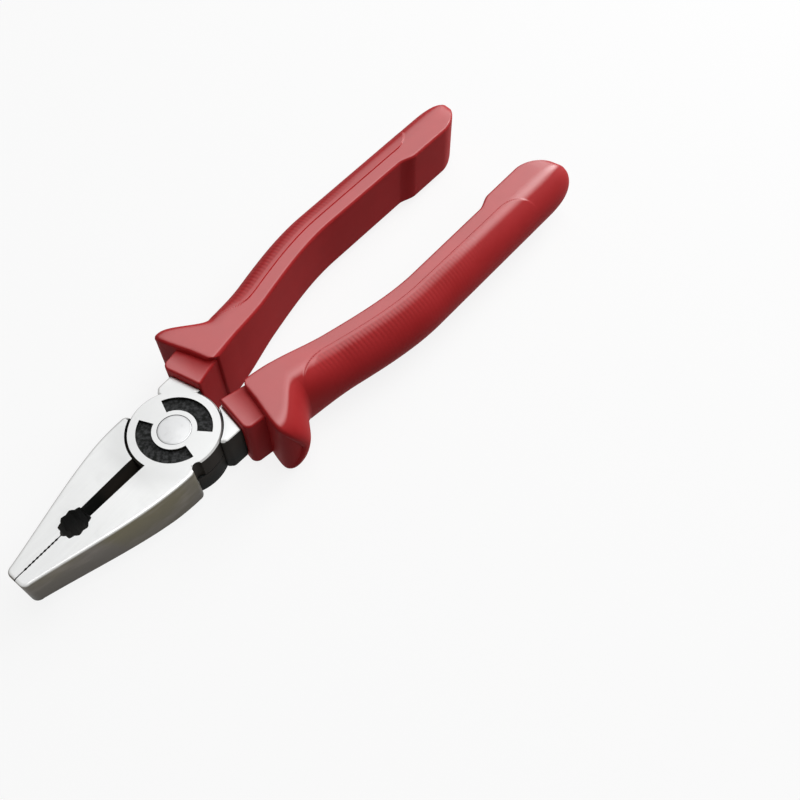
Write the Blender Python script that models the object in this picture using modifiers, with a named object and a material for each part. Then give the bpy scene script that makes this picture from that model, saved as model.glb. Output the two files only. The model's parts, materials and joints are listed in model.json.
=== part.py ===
"""Lineman pliers: two forged halves lapped on one rivet, each half in a moulded sleeve."""
import math

import bmesh
import bpy

MM = 0.001

# Overall lengths in millimetres; x runs from the rivet axis toward the jaw tips.
OVERALL = 207.0
TIP_REACH = 53.3
TAIL = OVERALL - TIP_REACH
GAP = 0.3
PART = GAP / 2
CUT_OVER = 2.0

# Head of the forging: thickness at the joint and at the tip, and the lap discs.
HEAD_T = 14.2
TIP_T = 10.3
TAPER_FROM = 15.0
DISC_R = 12.9
SOCKET_R = DISC_R + GAP
HEAD_TOP = HEAD_T / 2
HEAD_EDGE = 1.0
DISC_STEPS = 72

# Jaw outline in plan: half width at the shoulder and at the tip.
SHOULDER_X = 4.9
SHOULDER_W = 13.7
TIP_W = 3.9
BULGE_A = (20.5, 13.65)
BULGE_B = (35.0, 8.2)
TIP_CORNER = 0.8
JAW_STEPS = 12

# Between the jaws, from the tip back: a plain land, flat teeth, pipe grip and cutter.
TIP_LAND = 3.1
TOOTH_PITCH = 1.2
TOOTH_DEPTH = 0.45
TEETH = 9
TEETH_END = TIP_REACH - TIP_LAND
TEETH_START = TEETH_END - TEETH * TOOTH_PITCH
GRIP_LAND = 0.8
GRIP_LONG = 4.4
GRIP_WIDE = 3.7
GRIP_X = TEETH_START - GRIP_LAND - GRIP_LONG
GRIP_TEETH = 5
GRIP_CREST_RATIO = 0.80
CUTTER_START = 11.0
CUTTER_INTO_GRIP = 0.8
CUTTER_END = GRIP_X - GRIP_LONG + CUTTER_INTO_GRIP
CUTTER_W = 2.05
CUTTER_LAND = 0.6

# Rivet and the two sunk bands round it, as start and end angles in degrees.
RIVET_R = 3.6
RIVET_HEAD_R = 4.4
RIVET_HEAD_T = 1.6
RIVET_PROUD = 0.15
RIVET_EDGE = 0.3
RIVET_STEPS = 48
BAND_IN = 6.1
BAND_OUT = 10.3
BAND_DEPTH = 0.6
BAND_ARCS = ((-68.0, 76.0), (125.0, 247.0))
BAND_STEPS = 18

# Neck behind the joint, and the tang that runs inside the sleeve.
NECK_FRONT = 5.0
NECK_FRONT_W = 13.0
NECK_W = 14.6
NECK_FLARE = 1.7
NECK_IN = 3.9
NECK_EDGE = 0.7
TANG_T = 9.0
TANG_FRONT_Y = 9.7
TANG_MID_Y = 23.0
TANG_MID_X = 85.0
TANG_END = 126.0
TANG_HALF = 3.9
TANG_END_HALF = 3.0
TANG_SLOPE = 0.2
TANG_LAP = 4.0
TANG_STEPS = 16

# Nose of the sleeve, the low block that closes on the neck.
NOSE_IN = (-13.8, 3.8)
NOSE_OUT = (-11.9, 15.3)
NOSE_BACK_OUT = (-18.0, 16.4)
NOSE_BACK = -28.0
NOSE_TUCK = 1.0
NOSE_SPLAY = 0.6
NOSE_CORNER = 1.6
NOSE_T = 19.2
NOSE_EDGE = 0.7

# Sleeve: lines of its inner wall and its outer side, and its height along the handle.
GUARD_X = 20.0
GUARD_T = 23.4
GUARD_W = 27.2
GUARD_SWEEP = 5.6
SWEEP_START = 14.0
SWEEP_RUN = 12.0
GUARD_BACKSET = 1.5
GUARD_FLAT = 27.0
GUARD_ROUND = 6.5
GUARD_POWER = 3.2
WAIST_X = 34.0
WAIST_W = 21.2
WAIST_SLOPE = 0.22
FLARE_FROM = 18.0
BODY_X = 80.0
BODY_W = 29.6
BODY_T = 18.8
BODY_FLAT = 48.0
BODY_SLOPE = 0.016
INNER_FRONT_X = 22.0
INNER_FRONT_Y = 5.6
INNER_SLOPE = 0.12
INNER_MID_X = 82.0
INNER_MID_Y = 16.6
HEEL_FROM = 114.0
HEEL_RUN = 7.0
HEEL_IN = 1.7
END_RUN = 15.0
END_SLANT = 6.5
END_LAST_RATIO = 0.965
END_ACROSS_POWER = 2.6
END_UPRIGHT_POWER = 2.2
SIDE_ROUND = 9.4
INNER_EDGE = 1.0
PANEL_DEPTH = 0.4
PANEL_LIP = 0.6
PANEL_FROM = 35.0
PANEL_TO = 134.0
PANEL_SLANT = 9.0
PANEL_FADE = 3.0
FRONT_EDGE = 0.8
ROUND_STEPS = 8
FRONT_STEPS = 6
BEND_STEPS = 8
BODY_STEPS = 22
TAIL_STEPS = 4
END_STEPS = 7

# Corners sharper than these are bevelled, or shaded as edges.
BEVEL_ANGLE = math.radians(40)
SHARP_ANGLE = math.radians(30)

PIVOT = ((TAIL - TIP_REACH) / 2 * MM, 0.0, GUARD_T / 2 * MM)


def smooth(t):
    """Ease from 0 to 1 with level ends."""
    t = min(max(t, 0.0), 1.0)
    return t * t * (3 - 2 * t)


def mix(a, b, t):
    return a + (b - a) * t


def hermite(u, u0, v0, m0, u1, v1, m1):
    """Cubic through two points with the slope given at each."""
    run = u1 - u0
    t = (u - u0) / run
    keep = 2 * t**3 - 3 * t**2 + 1
    lead = t**3 - 2 * t**2 + t
    tail = t**3 - t**2
    return keep * v0 + lead * run * m0 + (1 - keep) * v1 + tail * run * m1


def bezier(a, b, c, d, t):
    s = 1 - t
    parts = ((s**3, a), (3 * s * s * t, b), (3 * s * t * t, c), (t**3, d))
    return tuple(sum(w * p[k] for w, p in parts) for k in (0, 1))


def arc(radius, start, end, steps):
    angles = [math.radians(mix(start, end, k / steps)) for k in range(steps + 1)]
    return [(radius * math.cos(a), radius * math.sin(a)) for a in angles]


def collection(name):
    group = bpy.data.collections.new(name)
    bpy.context.scene.collection.children.link(group)
    return group


def material(name, colour, roughness, metallic):
    mat = bpy.data.materials.new(name)
    mat.use_nodes = True
    shader = mat.node_tree.nodes["Principled BSDF"]
    shader.inputs["Base Color"].default_value = (*colour, 1.0)
    shader.inputs["Roughness"].default_value = roughness
    shader.inputs["Metallic"].default_value = metallic
    return mat


def finish(mesh, name, group):
    """Turn a bmesh in millimetres into an object in metres."""
    bmesh.ops.recalc_face_normals(mesh, faces=mesh.faces)
    bmesh.ops.scale(mesh, vec=(MM, MM, MM), verts=mesh.verts)
    data = bpy.data.meshes.new(name)
    mesh.to_mesh(data)
    mesh.free()
    obj = bpy.data.objects.new(name, data)
    group.objects.link(obj)
    if group is CUTTERS:
        obj.hide_render = True
        obj.display_type = "WIRE"
    return obj


def prism(name, outline, low, high, group):
    """Straight-sided solid over a flat outline."""
    mesh = bmesh.new()
    ring = [mesh.verts.new((x, y, low)) for x, y in outline]
    floor = mesh.faces.new(ring)
    grown = bmesh.ops.extrude_face_region(mesh, geom=[floor])
    top = [v for v in grown["geom"] if isinstance(v, bmesh.types.BMVert)]
    bmesh.ops.translate(mesh, verts=top, vec=(0, 0, high - low))
    return finish(mesh, name, group)


def cylinder(name, radius, low, high, group):
    mesh = bmesh.new()
    bmesh.ops.create_cone(mesh, cap_ends=True, segments=DISC_STEPS, radius1=radius,
                          radius2=radius, depth=high - low)
    bmesh.ops.translate(mesh, verts=mesh.verts, vec=(0, 0, (low + high) / 2))
    return finish(mesh, name, group)


def bevel(obj, width, segments):
    mod = obj.modifiers.new("edge", "BEVEL")
    mod.width = width * MM
    mod.segments = segments
    mod.limit_method = "ANGLE"
    mod.angle_limit = BEVEL_ANGLE


def boolean(obj, other, operation):
    mod = obj.modifiers.new(other.name, "BOOLEAN")
    mod.operation = operation
    mod.object = other


def jaw_outline():
    """Both jaws in plan, from the shoulder round the tip and back."""
    start = (SHOULDER_X, SHOULDER_W)
    end = (TIP_REACH - TIP_CORNER, TIP_W)
    side = [bezier(start, BULGE_A, BULGE_B, end, k / JAW_STEPS) for k in range(JAW_STEPS + 1)]
    side.append((TIP_REACH, TIP_W - TIP_CORNER))
    return side + [(x, -y) for x, y in reversed(side)]


def taper(obj):
    """Lower the top and raise the underside of the head toward the tip, from a line across it."""
    mesh = bmesh.new()
    mesh.from_mesh(obj.data)
    whole = mesh.verts[:] + mesh.edges[:] + mesh.faces[:]
    bmesh.ops.bisect_plane(mesh, geom=whole, plane_co=(TAPER_FROM * MM, 0, 0), plane_no=(1, 0, 0))
    for vert in mesh.verts:
        t = max(0.0, (vert.co.x / MM - TAPER_FROM) / (TIP_REACH - TAPER_FROM))
        vert.co.z *= mix(HEAD_T, TIP_T, t) / HEAD_T
    mesh.to_mesh(obj.data)
    mesh.free()


def parting_outline():
    """Everything on the far side of the jaw's meeting edge, with its teeth and pipe grip."""
    past_tip = TIP_REACH + CUT_OVER
    edge = [(past_tip, PART)]
    for k in range(TEETH):
        edge.append((TEETH_END - k * TOOTH_PITCH, PART))
        edge.append((TEETH_END - (k + 0.5) * TOOTH_PITCH, PART + TOOTH_DEPTH))
    edge.append((TEETH_START, PART))
    steps = 2 * GRIP_TEETH
    for k in range(steps + 1):
        angle = math.pi * k / steps
        reach = GRIP_CREST_RATIO if k % 2 else 1.0
        along = GRIP_X + GRIP_LONG * reach * math.cos(angle)
        edge.append((along, PART + GRIP_WIDE * reach * math.sin(angle)))
    edge.append((-TIP_REACH, PART))
    return edge + [(-TIP_REACH, -TIP_REACH), (past_tip, -TIP_REACH)]


def cutter_bevel(name, side):
    """Wedge that leaves the cutting edge near mid thickness."""
    reach = HEAD_TOP + CUT_OVER
    width = CUTTER_W * (reach - CUTTER_LAND) / (HEAD_TOP - CUTTER_LAND)
    mesh = bmesh.new()
    ends = []
    for x in (CUTTER_START, CUTTER_END):
        corners = ((0.0, CUTTER_LAND), (width, reach), (-width, reach))
        ends.append([mesh.verts.new((x, y, side * z)) for y, z in corners])
    mesh.faces.new(ends[0])
    mesh.faces.new(ends[1])
    for k in range(3):
        n = (k + 1) % 3
        mesh.faces.new((ends[0][k], ends[0][n], ends[1][n], ends[1][k]))
    return finish(mesh, name, CUTTERS)


def neck_outline():
    """Neck of this half, which crosses to the other side behind the joint."""
    back_in = (NOSE_IN[0] + GAP, NECK_IN)
    back_out = (NOSE_OUT[0] + GAP, NECK_W)
    outline = [(-NECK_FRONT, NECK_IN), (-NECK_FRONT, NECK_FRONT_W),
               (-NECK_FRONT - NECK_FLARE, NECK_W), back_out, back_in]
    return [(x, -y) for x, y in outline]


def tang_line(u):
    if u > TANG_MID_X:
        return TANG_MID_Y
    return hermite(u, -NOSE_OUT[0], TANG_FRONT_Y, TANG_SLOPE, TANG_MID_X, TANG_MID_Y, 0)


def tang_outline(clear):
    """Plan of the tang, or of the pocket round it when clear is not zero."""
    start = -NOSE_OUT[0] - TANG_LAP
    near = []
    far = []
    for k in range(TANG_STEPS + 1):
        u = mix(start, TANG_END + clear, k / TANG_STEPS)
        half = mix(TANG_HALF, TANG_END_HALF, k / TANG_STEPS) + clear
        near.append((-u, -tang_line(u) + half))
        far.append((-u, -tang_line(u) - half))
    return near + far[::-1]


def inner_line(u):
    if u < INNER_MID_X:
        return hermite(u, INNER_FRONT_X, INNER_FRONT_Y, INNER_SLOPE, INNER_MID_X, INNER_MID_Y, 0)
    return INNER_MID_Y - HEEL_IN * smooth((u - HEEL_FROM) / HEEL_RUN)


def outer_line(u):
    if u < WAIST_X:
        return mix(WAIST_W, GUARD_W, smooth((WAIST_X - u) / (WAIST_X - FLARE_FROM)))
    if u < BODY_X:
        return hermite(u, WAIST_X, WAIST_W, WAIST_SLOPE, BODY_X, BODY_W, BODY_SLOPE)
    return BODY_W + BODY_SLOPE * (u - BODY_X)


def half_height(u):
    return mix(GUARD_T, BODY_T, smooth((u - GUARD_FLAT) / (BODY_FLAT - GUARD_FLAT))) / 2


def panel(u, over):
    """Depth of the sunk grip panel; over runs from its line on top to the outer side."""
    start = PANEL_FROM + PANEL_SLANT * (1 - over)
    return PANEL_DEPTH * smooth((u - start) / PANEL_FADE) * smooth((PANEL_TO - u) / PANEL_FADE)


def sleeve_section(u, inset):
    """Upper edge of the sleeve's section, from the inner wall over to the outer side."""
    inner = inner_line(u) + inset
    outer = outer_line(u) - inset
    top = half_height(u) - inset
    body = smooth((u - GUARD_X) / (BODY_FLAT - GUARD_X))
    reach = mix(GUARD_ROUND, SIDE_ROUND, body)
    power = 2 / mix(GUARD_POWER, 2.0, body)
    line = outer - reach
    ease = INNER_EDGE * (1 - math.cos(math.pi / 4))
    points = [(inner, top - INNER_EDGE), (inner + ease, top - ease), (inner + INNER_EDGE, top),
              (line, top), (line + PANEL_LIP, top - panel(u, 0.0))]
    for k in range(2, ROUND_STEPS + 2):
        angle = math.pi / 2 * k / (ROUND_STEPS + 1)
        over = math.sin(angle) ** power
        upright = max(0.0, math.cos(angle)) ** power
        sunk = panel(u, over)
        points.append((line + (reach - sunk) * over, (top - sunk) * upright))
    points[-1] = (points[-1][0], 0.0)
    return points


def closing(share, power):
    """Size left of a section at a share of the way along the rounded end."""
    return (1 - share**power) ** (1 / power)


def end_ring(u, share):
    """Section drawn in toward its middle, and cut back on the side toward the other handle."""
    points = sleeve_section(u, 0.0)
    inner = points[0][0]
    width = points[-1][0] - inner
    full = (1 + closing(END_LAST_RATIO, END_ACROSS_POWER)) / 2
    ring = []
    for y, z in points:
        place = 0.5 + ((y - inner) / width - 0.5) * closing(share, END_ACROSS_POWER)
        short = END_SLANT * share * max(0.0, full - place)
        ring.append((short - u, -inner - width * place, z * closing(share, END_UPRIGHT_POWER)))
    return ring


def sleeve_rings():
    """Sections of the sleeve from the swept front of the guard to the rounded end."""
    rings = []
    front = [(GUARD_X, FRONT_EDGE), (GUARD_X + FRONT_EDGE, 0.0)]
    body_end = TAIL - END_RUN
    bend = PANEL_FROM + PANEL_SLANT + PANEL_FADE
    tail = PANEL_TO - PANEL_FADE
    runs = ((GUARD_X + FRONT_EDGE, WAIST_X, FRONT_STEPS), (WAIST_X, bend, BEND_STEPS),
            (bend, tail, BODY_STEPS), (tail, body_end, TAIL_STEPS))
    body = [(mix(a, b, k / steps), 0.0) for a, b, steps in runs for k in range(1, steps + 1)]
    for u, inset in front + body:
        fade = max(0.0, (WAIST_X - u) / (WAIST_X - GUARD_X))
        ring = []
        for y, z in sleeve_section(u, inset):
            sweep = GUARD_SWEEP * smooth((y - SWEEP_START) / SWEEP_RUN) - GUARD_BACKSET
            ring.append((-u + fade * sweep, -y, z))
        rings.append(ring)
    for k in range(1, END_STEPS + 1):
        turn = math.sin(math.pi / 2 * k / END_STEPS)
        rings.append(end_ring(body_end + END_RUN * turn, END_LAST_RATIO * turn))
    return rings


def loft(name, rings, group):
    """Skin over sections that are each given by their upper edge and mirrored below."""
    mesh = bmesh.new()
    loops = []
    for ring in rings:
        upper = [mesh.verts.new(p) for p in ring]
        lower = [mesh.verts.new((x, y, -z)) for x, y, z in ring[:-1]]
        loops.append(upper + lower[::-1])
    count = len(loops[0])
    for near, far in zip(loops, loops[1:]):
        for k in range(count):
            n = (k + 1) % count
            mesh.faces.new((near[k], near[n], far[n], far[k]))
    for loop in (loops[0], loops[-1]):
        for k in range(count // 2):
            mesh.faces.new(dict.fromkeys((loop[k], loop[k + 1], loop[-2 - k], loop[-1 - k])))
    return finish(mesh, name, group)


def nose_outline():
    """Plan of the low block in front of the guard, its outer front corner rounded."""
    out_x, out_y = NOSE_OUT
    corner = [(out_x - NOSE_CORNER * (1 - math.cos(a)), out_y - NOSE_CORNER * (1 - math.sin(a)))
              for a in (0, math.pi / 6, math.pi / 3, math.pi / 2)]
    back = [(NOSE_BACK, NOSE_BACK_OUT[1] + NOSE_SPLAY), (NOSE_BACK, inner_line(-NOSE_BACK) + NOSE_TUCK)]
    outline = [NOSE_IN] + corner + [NOSE_BACK_OUT] + back
    return [(x, -y) for x, y in outline]


def revolve(name, profile, group):
    """Solid of revolution about Z from a profile of radius and height."""
    mesh = bmesh.new()
    verts = [mesh.verts.new((r, 0, z)) for r, z in profile]
    edges = [mesh.edges.new(pair) for pair in zip(verts, verts[1:])]
    bmesh.ops.spin(mesh, geom=verts + edges, cent=(0, 0, 0), axis=(0, 0, 1),
                   angle=2 * math.pi, steps=RIVET_STEPS, use_merge=True)
    bmesh.ops.remove_doubles(mesh, verts=mesh.verts, dist=1e-5)
    return finish(mesh, name, group)


def rivet_profile(clear, proud):
    """Shank with a flat head sunk at each end; grown by clear to cut its seat."""
    top = HEAD_TOP + proud
    seat = HEAD_TOP - RIVET_HEAD_T - clear
    shank = RIVET_R + clear
    head = RIVET_HEAD_R + clear
    half = [(0, top), (head - RIVET_EDGE, top), (head, top - RIVET_EDGE / 2), (head, seat),
            (shank, seat)]
    return half + [(r, -z) for r, z in reversed(half)]


def settle(obj, mat):
    """Give a part its material, smooth shading between its edges, and its place on the pivot."""
    obj.data.materials.clear()
    obj.data.materials.append(mat)
    for face in obj.data.polygons:
        face.use_smooth = True
    obj.data.set_sharp_from_angle(angle=SHARP_ANGLE)
    obj.location = PIVOT


def solid_copy(obj, name, group):
    """Plain mesh of an object with its modifiers worked out."""
    graph = bpy.context.evaluated_depsgraph_get()
    data = bpy.data.meshes.new_from_object(obj.evaluated_get(graph))
    data.name = name
    copy = bpy.data.objects.new(name, data)
    group.objects.link(copy)
    return copy


for old in list(bpy.data.objects):
    bpy.data.objects.remove(old)
PARTS = collection("lineman_pliers")
CUTTERS = collection("cutters")

steel = material("forged_steel", (0.62, 0.62, 0.61), 0.28, 1.0)
rivet_steel = material("rivet_steel", (0.66, 0.66, 0.65), 0.3, 1.0)
red = material("red_plastic", (0.52, 0.045, 0.05), 0.42, 0.0)

# Forged half that carries the upper lap disc; the other half is the same forging turned over.
half = prism("upper_lap_half", jaw_outline(), -HEAD_TOP, HEAD_TOP, PARTS)
taper(half)
bevel(half, HEAD_EDGE, 2)
boolean(half, prism("parting", parting_outline(), -HEAD_T, HEAD_T, CUTTERS), "DIFFERENCE")
boolean(half, cutter_bevel("cutter_top", 1), "DIFFERENCE")
boolean(half, cutter_bevel("cutter_under", -1), "DIFFERENCE")
neck = prism("neck", neck_outline(), -HEAD_TOP, HEAD_TOP, CUTTERS)
bevel(neck, NECK_EDGE, 1)
boolean(half, neck, "UNION")
boolean(half, cylinder("lap_disc", DISC_R, -CUT_OVER, HEAD_TOP, CUTTERS), "UNION")
boolean(half, prism("tang", tang_outline(0.0), -TANG_T / 2, TANG_T / 2, CUTTERS), "UNION")
boolean(half, cylinder("socket", SOCKET_R, -HEAD_T, PART, CUTTERS), "DIFFERENCE")
boolean(half, revolve("rivet_seat", rivet_profile(GAP, CUT_OVER), CUTTERS), "DIFFERENCE")
for number, (start, end) in enumerate(BAND_ARCS):
    band = arc(BAND_OUT, start, end, BAND_STEPS) + arc(BAND_IN, end, start, BAND_STEPS)
    floor = HEAD_TOP - BAND_DEPTH
    boolean(half, prism("band_%d" % number, band, floor, HEAD_T, CUTTERS), "DIFFERENCE")

# Sleeve with its nose, hollowed for the tang.
sleeve = loft("upper_half_sleeve", sleeve_rings(), PARTS)
nose = prism("nose", nose_outline(), -NOSE_T / 2, NOSE_T / 2, CUTTERS)
bevel(nose, NOSE_EDGE, 2)
boolean(sleeve, nose, "UNION")
pocket_top = TANG_T / 2 + GAP
boolean(sleeve, prism("pocket", tang_outline(GAP), -pocket_top, pocket_top, CUTTERS), "DIFFERENCE")

rivet = revolve("pivot_rivet", rivet_profile(0.0, RIVET_PROUD), PARTS)

lower = solid_copy(half, "lower_lap_half", PARTS)
lower_sleeve = solid_copy(sleeve, "lower_half_sleeve", PARTS)
for turned in (lower, lower_sleeve):
    turned.rotation_euler = (math.pi, 0, 0)

settle(half, steel)
settle(lower, steel)
settle(rivet, rivet_steel)
settle(sleeve, red)
settle(lower_sleeve, red)
for tool in CUTTERS.objects:
    tool.location = PIVOT
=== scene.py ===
"""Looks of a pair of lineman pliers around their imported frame, laid out as an add-on."""

import json
import math
from types import SimpleNamespace

import bmesh
import bpy
from bpy.props import FloatProperty, FloatVectorProperty, IntProperty, PointerProperty
from mathutils import Matrix, Vector


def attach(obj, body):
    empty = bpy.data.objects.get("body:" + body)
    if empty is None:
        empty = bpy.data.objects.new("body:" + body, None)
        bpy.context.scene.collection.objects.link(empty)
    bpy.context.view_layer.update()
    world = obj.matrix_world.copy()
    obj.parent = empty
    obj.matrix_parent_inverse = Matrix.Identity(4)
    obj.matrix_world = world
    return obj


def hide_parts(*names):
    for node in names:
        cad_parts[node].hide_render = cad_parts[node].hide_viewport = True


bl_info = {
    "name": "Lineman Pliers",
    "version": (1, 0, 0),
    "blender": (4, 5, 0),
    "location": "View3D > Sidebar > Pliers",
    "description": "Forged halves, joint rivet, moulded sleeves and a studio around them",
    "category": "Object",
}

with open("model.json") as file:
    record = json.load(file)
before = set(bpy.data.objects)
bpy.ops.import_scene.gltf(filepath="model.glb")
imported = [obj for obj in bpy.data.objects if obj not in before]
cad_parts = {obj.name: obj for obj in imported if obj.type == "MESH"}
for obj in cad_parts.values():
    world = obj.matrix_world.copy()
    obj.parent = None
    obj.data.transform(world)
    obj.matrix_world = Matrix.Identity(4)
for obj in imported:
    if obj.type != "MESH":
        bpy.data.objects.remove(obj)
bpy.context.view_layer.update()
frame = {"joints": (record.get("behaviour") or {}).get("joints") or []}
PIVOT = Vector(frame["joints"][0]["pos_m"])

# Lengths below are in millimetres from the joint's axis; x runs toward the jaw tips.
MM = 0.001
REACH = 53.3
TAIL = 153.69
GAP = 0.3
PART = GAP / 2
CUT_OVER = 2.0

# Jaws in plan, the taper of the head toward the tips, and the wear of their faces and edges, with
# painted highlight and shade on the rounded jaw edges, painted shade round the joint and low on
# the flanks, and flanks darker toward the tips.
SHOULDER = (4.9, 13.7)
SHOULDER_CORNER = 1.7
BULGE_A = (20.5, 13.65)
BULGE_B = (35.0, 8.2)
TIP_W = 3.9
TIP_CORNER = 2.0
CORNER_STEPS = 6
TAPER_FROM = 15.0
HEAD_EDGE = 0.9
# Rounded jaw edges take a ground share that grows as they turn up: edge polish in part, and in
# part a painted highlight; the second limits, for the side away from the lap disc, give less, a
# painted darker edge.
EDGE_POLISH_AND_SHEEN = 0.9
EDGE_SHEEN_FADE = ((0.25, 0.95), (0.62, 0.98))
EDGE_REACH = 1.2 * HEAD_EDGE
# Painted shade: the ground faces darken round the joint, standing in for a dimmer reflection
# there; these are its radii.
JOINT_SHADE_REACH = (13.2, 22.0)
# The flanks darken toward the tips, between these distances from the joint.
FLANK_TIPWARD = (28.0, 52.0)
# Painted shade: the flanks darken toward the floor, below these heights.
FLANK_LOW_SHADE = (5.0, 18.0)
FACE_NEAR = 0.05
FACE_LEVEL = 0.995
BAND_LEVEL = 0.9
ROUND_LEVEL = 0.3
ROUND_WEAR = 0.75
JAW_STEPS = 48

# Between the jaws: flat teeth, pipe grip and cutter.
TEETH_END = REACH - 3.1
TOOTH_FILL = 0.94
GRIP_X = 34.2
GRIP_LONG = 4.4
GRIP_WIDE = 3.7
GRIP_TEETH = 5
GRIP_CREST_RATIO = 0.87
GRIP_STEPS = 60
CUTTER = (11.0, 32.4)
CUTTER_W = 2.05
CUTTER_LAND = 0.6

# Joint: lap discs, rivet and the two sunk bands on each face.
DISC_R = 12.9
DISC_CHAMFER = 0.45
DISC_STEPS = 144
RELIEF = (3.93, 13.3)
RELIEF_R = 1.66
RELIEF_STEPS = 32
WEB = ((SHOULDER[0], 9.0), (6.6, 9.0), (6.6, 12.4), (SHOULDER[0], 12.4))
SHANK_R = 3.6
RIVET_CROWN = ((0.0, 0.0), (1.7, 0.02), (3.1, 0.07))
RIM_DROP = 0.12
RIM_IN = 0.35
RIM_DOWN = 0.18
RIM_ANGLES = (0.0, 0.4, 0.8, 1.2, math.pi / 2)
# Painted shade: the rivet's colour darkens toward the rounded edge of its head, between these
# radii.
RIM_SHADE = (3.9, 4.6)
RIVET_RINGS = 24000.0
HEAD_SEAT_R = 4.7
HEAD_SEAT_T = 1.9
BAND = (6.1, 10.3)
BAND_ARCS = ((-68.0, 76.0), (125.0, 247.0))
BAND_STEPS = 48

# Neck behind the joint and the tang inside the sleeve.
NECK = ((-5.0, 3.9), (-5.0, 12.3), (-6.4, 13.6), (-11.6, 13.8), (-13.5, 3.9))
NECK_EDGE = 0.7
TANG_HALF_T = 4.5
TANG_FRONT = (7.9, 9.7)
TANG_SLOPE_FROM = 11.9
TANG_SLOPE = 0.2
TANG_MID = (85.0, 23.0)
TANG_END = 126.0
TANG_HALF = (3.9, 3.0)
TANG_STEPS = 16

# Sleeve: nose block, guard, waist, body and rounded end.
NOSE_IN = (-13.5, 3.8)
NOSE_OUT = (-11.4, 16.8)
NOSE_BACK = ((-18.0, 17.5), (-28.0, 17.8), (-28.0, 7.5))
NOSE_CORNER = 2.2
NOSE_HALF_T = 9.6
NOSE_EDGE = 0.7
GUARD_X = 20.0
GUARD_W = 27.8
GUARD_SWEEP = 4.2
SWEEP_START = 6.0
SWEEP_RUN = 19.0
INNER_CORNER = 2.4
WING_CORNER = 4.4
GUARD_FLAT = 27.0
GUARD_ROUND = 7.6
GUARD_POWER = 2.6
WAIST = (31.0, 20.5)
WAIST_SLOPE = 0.22
FLARE_FROM = 21.5
BODY = (80.0, 29.8)
BODY_POWER = 2.0
BODY_SLOPE = 0.0124
BODY_FLAT = 48.0
INNER_FRONT = (22.0, 5.6)
INNER_SLOPE = 0.12
INNER_MID = (82.0, 16.25)
HEEL_FROM = 116.0
HEEL_RUN = 7.0
HEEL_IN = 1.8
END_RUN = 15.0
END_SLANT = 3.0
END_LAST = 0.995
END_MIDDLE = 0.68
END_INNER_POWER = 1.7
END_OUTER_POWER = 2.4
END_UPRIGHT_POWER = 3.2
SIDE_ROUND = 9.4
INNER_EDGE = 1.0
WALL_POINTS = 3
WALL_MIDDLE = 0.5
WALL_TOP = 0.2
BORDER_STEP = 0.5
BORDER_POINTS = 4
BORDER_SHARES = (0.35, 0.7, 0.95)
FRONT_EDGE = 1.0
PANEL_WALL = 0.35
PANEL_END_EASE = 0.45
PANEL_DULL = 0.2
SEAM_DULL = (70.0, 100.0)
RIB_DULL = 0.57
PANEL_FROM = 46.0
PANEL_FROM_ROUND = 15.0
PANEL_TO = 120.0
PANEL_TO_ROUND = 11.5
RIBS_OVER = (0.42, 0.78)
RIBS_SIDE = 0.12
RIBS_IN = (0.8, 1.8)
RIBS_FROM = (35.0, 41.0)
RIBS_TO = (84.0, 116.0)
RIB_STEPS = 6
RIB_RIDGE = (0.3, 0.62)
GLOSS_LEVEL = (0.87, 0.985)
ROUND_STEPS = 50
LIP_STEPS = 6
EDGE_STEPS = 6
FRONT_STEPS = 5
END_STEPS = 24
RING_STEP = 0.6
PANEL_MARGIN = 1.0

# Studio, in metres: half the floor's side, its drop below the object, lights and camera.
FLOOR_HALF = 3.0
FLOOR_DROP = 0.0001
LIGHTS = (
    ("top_light", (-0.24, 0.19, 0.92), "top_power", 1.0),
    ("far_light", (-0.40, -0.55, 0.72), "far_power", 0.5),
    ("side_light", (-0.90, 0.06, 0.40), "side_power", 0.5),
)
SENSOR_MM = 36.0
CLIP = (0.01, 20.0)

SMOOTH_ANGLE = math.radians(28)


def smooth(t):
    """Ease from 0 to 1 with level ends."""
    t = min(max(t, 0.0), 1.0)
    return t * t * (3 - 2 * t)


def ease(value, low, high):
    """Ease from 0 at the first limit to 1 at the second, which may be the lower one."""
    return smooth((value - low) / (high - low))


def mix(a, b, t):
    """Value at a share t of the way from a to b."""
    return a + (b - a) * t


def hermite(u, start, slope, end, end_slope):
    """Cubic between two points with the slope given at each."""
    run = end[0] - start[0]
    t = (u - start[0]) / run
    hold = 2 * t**3 - 3 * t**2 + 1
    lead = t**3 - 2 * t**2 + t
    tail = t**3 - t**2
    return hold * start[1] + lead * run * slope + (1 - hold) * end[1] + tail * run * end_slope


def bezier(a, b, c, d, t):
    """Point of a flat cubic curve with the four given handles."""
    s = 1 - t
    parts = ((s**3, a), (3 * s * s * t, b), (3 * s * t * t, c), (t**3, d))
    return tuple(sum(w * p[k] for w, p in parts) for k in (0, 1))


def arc(radius, start, end, steps):
    """Points round the origin between two angles in degrees."""
    angles = [math.radians(mix(start, end, k / steps)) for k in range(steps + 1)]
    return [(radius * math.cos(a), radius * math.sin(a)) for a in angles]


def quarter(steps):
    """Angles of a quarter turn in even steps."""
    return [math.pi / 2 * k / steps for k in range(steps + 1)]


def millimetres(group):
    """Values of a settings group, its lengths in millimetres."""
    values = {}
    for prop in group.bl_rna.properties:
        if prop.identifier in ("rna_type", "name"):
            continue
        value = getattr(group, prop.identifier)
        values[prop.identifier] = value / MM if prop.unit == "LENGTH" else value
    return SimpleNamespace(**values)


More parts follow.
